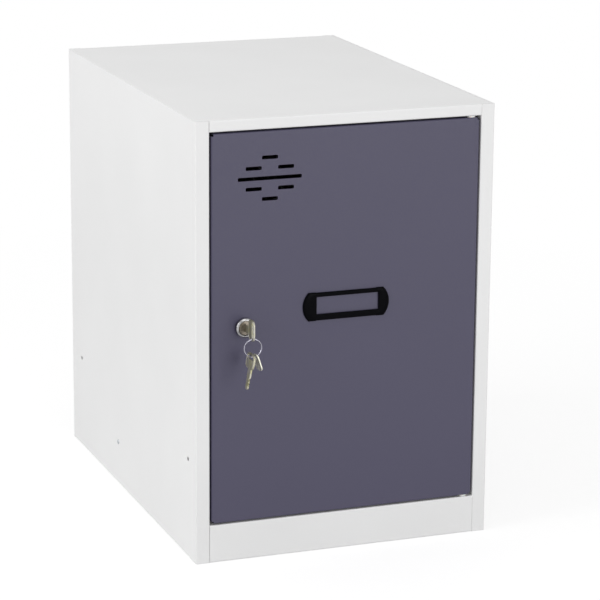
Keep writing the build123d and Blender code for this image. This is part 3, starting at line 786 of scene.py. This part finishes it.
class LOCKER_OT_wind_ring(Operator):
    """Split ring: two turns of one wire that step sideways between its two ends"""

    bl_idname = "locker.wind_ring"
    bl_label = "Wind ring"

    def execute(self, context):
        low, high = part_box("key_ring")
        wire = context.scene.locker_fittings.wire
        centre = (low + high) / 2
        radius = (high.x - low.x) / 2 - wire / 2
        end_gap = radians(14)
        step_at = radians(150)
        turns = 2 * TURN - 2 * end_gap
        loops = []
        for step in range(181):
            angle = end_gap + turns * step / 180
            passed = min(1.0, max(0.0, (angle - TURN + end_gap) / (2 * end_gap)))
            shift = (passed * passed * (3 - 2 * passed) - 0.5) * wire
            spoke = ACROSS * cos(angle + step_at) + UPWARD * sin(angle + step_at)
            loops.append(
                [
                    centre
                    + spoke * (radius + wire / 2 * cos(TURN * side / 12))
                    + INWARD * (shift + wire / 2 * sin(TURN * side / 12))
                    for side in range(12)
                ]
            )
        mesh = bmesh.new()
        skin(mesh, loops, capped=True)
        make_piece("split_ring", mesh, "ring_wire", "ring", ["key_ring"], sharp=50)
        return {"FINISHED"}


class LOCKER_OT_stamp_tag(Operator):
    """Blank brass tag with softened edges"""

    bl_idname = "locker.stamp_tag"
    bl_label = "Stamp tag"

    def execute(self, context):
        dress_nodes("tag_brass", "key_tag")
        ease_edges(["key_tag"], context.scene.locker_fittings.edge)
        return {"FINISHED"}


def upright(node, up):
    """Radius and length of an upright turned node, and the middle of the end it grows from."""
    low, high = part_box(node)
    centre = (low + high) / 2
    start = Vector((centre.x, centre.y, low.z if up > 0 else high.z))
    return (high.x - low.x) / 2, high.z - low.z, start


class LOCKER_OT_fit_hinges(Operator):
    """Zinc-plated hinge pins with rounded heads, and white nylon bushes"""

    bl_idname = "locker.fit_hinges"
    bl_label = "Fit hinges"

    def execute(self, context):
        sizes = context.scene.locker_fittings
        for name, up in (("upper", -1), ("lower", 1)):
            head, length, start = upright(name + "_hinge_pin", up)
            shank = sizes.pin_shank / 2
            profile = [
                (head - 1.6 * MM, 0.0),
                (head, 0.0),
                (head, sizes.pin_head_height),
                (shank, sizes.pin_head_height),
                (shank, length - 0.6 * MM),
                (shank - 0.6 * MM, length),
            ]
            mesh = bmesh.new()
            spin(mesh, start, UPWARD * up, eased(profile, 0.5 * MM), steps=48)
            make_piece(name + "_pivot_pin", mesh, "zinc_steel", "carcass", [name + "_hinge_pin"])

            flange, length, start = upright(name + "_hinge_bush", up)
            barrel, bore = sizes.bush_barrel / 2, sizes.bush_bore / 2
            profile = [
                (bore, length / 2),
                (bore, 0.0),
                (flange, 0.0),
                (flange, sizes.bush_flange),
                (barrel, sizes.bush_flange),
                (barrel, length),
                (bore, length),
                (bore, length * 0.6),
            ]
            mesh = bmesh.new()
            spin(mesh, start, UPWARD * up, eased(profile, 0.3 * MM), steps=48, closed=True)
            make_piece(name + "_flanged_bush", mesh, "white_nylon", "door", [name + "_hinge_bush"])
        return {"FINISHED"}


class LOCKER_OT_press_buffers(Operator):
    """Rubber buffers that the door closes on: a rounded crown, a stem and a tail behind the lip"""

    bl_idname = "locker.press_buffers"
    bl_label = "Press in buffers"

    def execute(self, context):
        sizes = context.scene.locker_fittings
        low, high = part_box("door_buffers")
        radius, length = (high.x - low.x) / 2, high.y - low.y
        crown = length - sizes.buffer_tail_length - sizes.sheet
        profile = [
            (radius * 0.45, 0.0),
            (radius * 0.8, crown * 0.08),
            (radius, crown * 0.9),
            (radius * 0.94, crown),
            (sizes.buffer_stem / 2, crown),
            (sizes.buffer_stem / 2, crown + sizes.sheet),
            (sizes.buffer_tail / 2, crown + sizes.sheet),
            (sizes.buffer_tail / 2, crown + sizes.sheet + 0.5 * MM),
            (sizes.buffer_tail / 4, length),
        ]
        mesh = bmesh.new()
        for height in (low.z + radius, high.z - radius):
            start = Vector((middle("door_buffers").x, low.y, height))
            spin(mesh, start, INWARD, eased(profile, 0.8 * MM), steps=36)
        make_piece("rubber_buffers", mesh, "black_rubber", "carcass", ["door_buffers"])
        return {"FINISHED"}


class LOCKER_OT_set_rivets(Operator):
    """Blind rivets of the floor pan: a low dome with the mandrel's hole, and a bulb behind"""

    bl_idname = "locker.set_rivets"
    bl_label = "Set rivets"

    def execute(self, context):
        sizes = context.scene.locker_fittings
        low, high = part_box("floor_rivets")
        head, shank = (high.z - low.z) / 2, sizes.rivet_shank / 2
        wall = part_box("right_side_panel")[1].x
        rise, grip = high.x - wall, 2 * sizes.sheet
        hole = 0.62 * MM
        profile = [
            (hole, rise * 0.45),
            (hole, rise * 0.96),
            (hole + 0.23 * MM, rise),
            (head * 0.6, rise * 0.86),
            (head * 0.9, rise * 0.45),
            (head, 0.0),
            (shank, 0.0),
            (shank, -grip),
            (shank + 0.5 * MM, -grip - 0.3 * MM),
            (shank + 0.55 * MM, -grip - 1.2 * MM),
            (shank, -grip - 2.2 * MM),
            (shank * 0.6, -grip - 2.6 * MM),
        ]
        mesh = bmesh.new()
        centre = middle("floor_rivets")
        for hand in (-1, 1):
            start = Vector((hand * wall, centre.y, centre.z))
            spin(mesh, start, ACROSS * hand, eased(profile, 0.3 * MM, 3), steps=36)
        make_piece("blind_rivets", mesh, "zinc_steel", "carcass", ["floor_rivets"])
        return {"FINISHED"}


class LOCKER_OT_mark_welds(Operator):
    """Faint painted-over marks of the spot welds that hold the back and the door's stiffener"""

    bl_idname = "locker.mark_welds"
    bl_label = "Mark welds"

    def execute(self, context):
        radius = context.scene.locker_fittings.weld_mark / 2
        profile = [
            (radius, -0.05 * MM),
            (radius * 0.93, 0.07 * MM),
            (radius * 0.82, 0.12 * MM),
            (radius * 0.66, 0.06 * MM),
            (radius * 0.4, 0.03 * MM),
            (radius * 0.1, 0.02 * MM),
        ]
        # Down the middle of each back flange, and along the top's back flange
        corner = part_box("right_side_panel")[1]
        flange = corner.x - 7.5 * MM
        back = [(x, z) for x in (-flange, flange) for z in (0.05, 0.15, 0.25, 0.35, 0.45)]
        back += [(x, corner.z - 6 * MM) for x in (-0.12, -0.04, 0.04, 0.12)]
        mesh = bmesh.new()
        for x, z in back:
            spin(mesh, Vector((x, corner.y, z)), INWARD, profile, steps=24)
        make_piece("back_weld_marks", mesh, "body_paint", "carcass", sharp=80)

        # Down the middle of each foot of the stiffener
        low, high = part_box("door_stiffener")
        foot = (high.x - low.x) / 2 - 6 * MM
        skin_back = low.y + context.scene.locker_fittings.sheet
        rows, end = 7, 25 * MM
        mesh = bmesh.new()
        for x in (-foot, foot):
            for row in range(rows):
                z = low.z + end + (high.z - low.z - 2 * end) * row / (rows - 1)
                spin(mesh, Vector((x, skin_back, z)), INWARD, profile, steps=24)
        make_piece("stiffener_weld_marks", mesh, "door_paint", "door", sharp=80)
        return {"FINISHED"}


def seen_directly(tree):
    """One for the rays by which camera, gloss and glass see the background, and zero for light."""
    path = add_node(tree, "ShaderNodeLightPath").outputs
    seen = path["Is Camera Ray"]
    for ray in ("Is Glossy Ray", "Is Transmission Ray"):
        seen = add_node(tree, MATH, {0: seen, 1: path[ray]}, operation="MAXIMUM").outputs[0]
    return seen


def white_floor(glow):
    """Studio floor: white to the eye, and a pale matt board to the light, with the shadow kept."""
    material = bpy.data.materials.new("White studio board")
    material.use_nodes = True
    tree = material.node_tree
    tree.nodes.clear()
    white = linear("FFFFFF")
    board = add_node(tree, "ShaderNodeBsdfDiffuse", {"Color": linear("D2D2D2")}).outputs[0]
    faint = add_node(tree, "ShaderNodeBsdfDiffuse", {"Color": shaded(white, 0.4)}).outputs[0]
    bright = add_node(tree, "ShaderNodeEmission", {"Color": white, "Strength": glow}).outputs[0]
    lifted = add_node(tree, "ShaderNodeAddShader", {0: faint, 1: bright}).outputs[0]
    place = add_node(tree, "ShaderNodeTexCoord").outputs["Object"]
    away = add_node(tree, "ShaderNodeVectorMath", {0: place}, operation="LENGTH").outputs["Value"]
    # The floor has turned to the background's own white before it ends
    reach = {"Value": away, "From Min": FADE_START, "From Max": FADE_END}
    fade = add_node(tree, MAP_RANGE, reach).outputs[0]
    plain = add_node(tree, "ShaderNodeEmission", {"Color": white}).outputs[0]
    faded = add_node(tree, "ShaderNodeMixShader", {0: fade, 1: lifted, 2: plain}).outputs[0]
    parts = {0: seen_directly(tree), 1: board, 2: faded}
    mixed = add_node(tree, "ShaderNodeMixShader", parts).outputs[0]
    add_node(tree, "ShaderNodeOutputMaterial", {"Surface": mixed})
    return material


class LOCKER_OT_light_studio(Operator):
    """White floor, even sky, three large soft lamps, and the camera at the picture's angle"""

    bl_idname = "locker.light_studio"
    bl_label = "Light studio"

    def execute(self, context):
        scene = context.scene
        studio = scene.locker_studio
        scene.view_settings.view_transform = "Standard"

        board = bmesh.new()
        bmesh.ops.create_grid(board, x_segments=8, y_segments=8, size=FLOOR_HALF)
        data = bpy.data.meshes.new("studio_floor")
        board.to_mesh(data)
        board.free()
        floor = bpy.data.objects.new("studio_floor", data)
        # A hair under the feet, so that no two faces lie in one plane
        floor.location.z = -0.2 * MM
        floor.data.materials.append(white_floor(studio.floor_glow))
        scene.collection.objects.link(floor)

        world = bpy.data.worlds.new("Even studio sky")
        world.use_nodes = True
        tree = world.node_tree
        tree.nodes.clear()
        white = linear("FFFFFF")
        light, seen = (
            add_node(tree, "ShaderNodeBackground", {"Color": white, "Strength": level}).outputs[0]
            for level in (studio.sky, 1.0)
        )
        parts = {0: seen_directly(tree), 1: light, 2: seen}
        mixed = add_node(tree, "ShaderNodeMixShader", parts).outputs[0]
        add_node(tree, "ShaderNodeOutputWorld", {"Surface": mixed})
        scene.world = world

        aim = Vector((0.0, 0.0, sum(corner.z for corner in cad_bounds) / 2))
        for name, place in LAMP_PLACES.items():
            lamp = bpy.data.lights.new(name, "AREA")
            lamp.energy = getattr(studio, name)
            lamp.size = LAMP_WIDTH
            made = bpy.data.objects.new(name, lamp)
            made.location = place
            made.rotation_euler = (Vector(place) - aim).to_track_quat("Z", "Y").to_euler()
            scene.collection.objects.link(made)

        back = Vector(
            (
                sin(studio.azimuth) * cos(studio.elevation),
                -cos(studio.azimuth) * cos(studio.elevation),
                sin(studio.elevation),
            )
        )
        right = Vector((cos(studio.azimuth), sin(studio.azimuth), 0.0))
        up = back.cross(right)
        lens = bpy.data.cameras.new("studio_camera")
        lens.sensor_width = 36.0
        lens.lens = studio.lens
        lens.clip_end = 50.0
        camera = bpy.data.objects.new("studio_camera", lens)
        place = right * studio.aim_right + up * studio.aim_up + back * studio.distance
        turn = Matrix((right, up, back)).transposed().to_4x4()
        roll = Matrix.Rotation(studio.roll, 4, "Z")
        camera.matrix_world = Matrix.Translation(place) @ turn @ roll
        scene.collection.objects.link(camera)
        scene.camera = camera
        return {"FINISHED"}


class LOCKER_PT_parts(Panel):
    """Lists the operators in the order that builds the picture"""

    bl_idname = "LOCKER_PT_parts"
    bl_label = "Cube locker"
    bl_space_type = "VIEW_3D"
    bl_region_type = "UI"
    bl_category = "Locker"

    def draw(self, context):
        for operator in OPERATORS:
            self.layout.operator(operator.bl_idname)


GROUPS = (LockerFinishes, LockerFittings, LockerStudio)
OPERATORS = (
    LOCKER_OT_paint_body,
    LOCKER_OT_paint_door,
    LOCKER_OT_mould_card_holder,
    LOCKER_OT_fit_lock,
    LOCKER_OT_cut_keys,
    LOCKER_OT_wind_ring,
    LOCKER_OT_stamp_tag,
    LOCKER_OT_fit_hinges,
    LOCKER_OT_press_buffers,
    LOCKER_OT_set_rivets,
    LOCKER_OT_mark_welds,
    LOCKER_OT_light_studio,
)


def register():
    for made in (*GROUPS, *OPERATORS, LOCKER_PT_parts):
        bpy.utils.register_class(made)
    bpy.types.Scene.locker_finishes = PointerProperty(type=LockerFinishes)
    bpy.types.Scene.locker_fittings = PointerProperty(type=LockerFittings)
    bpy.types.Scene.locker_studio = PointerProperty(type=LockerStudio)


def unregister():
    del bpy.types.Scene.locker_studio
    del bpy.types.Scene.locker_fittings
    del bpy.types.Scene.locker_finishes
    for made in reversed((*GROUPS, *OPERATORS, LOCKER_PT_parts)):
        bpy.utils.unregister_class(made)


def main():
    register()
    bpy.ops.locker.paint_body()
    bpy.ops.locker.paint_door()
    bpy.ops.locker.mould_card_holder()
    bpy.ops.locker.fit_lock()
    bpy.ops.locker.cut_keys()
    bpy.ops.locker.wind_ring()
    bpy.ops.locker.stamp_tag()
    bpy.ops.locker.fit_hinges()
    bpy.ops.locker.press_buffers()
    bpy.ops.locker.set_rivets()
    bpy.ops.locker.mark_welds()
    bpy.ops.locker.light_studio()


if __name__ == "__main__":
    main()
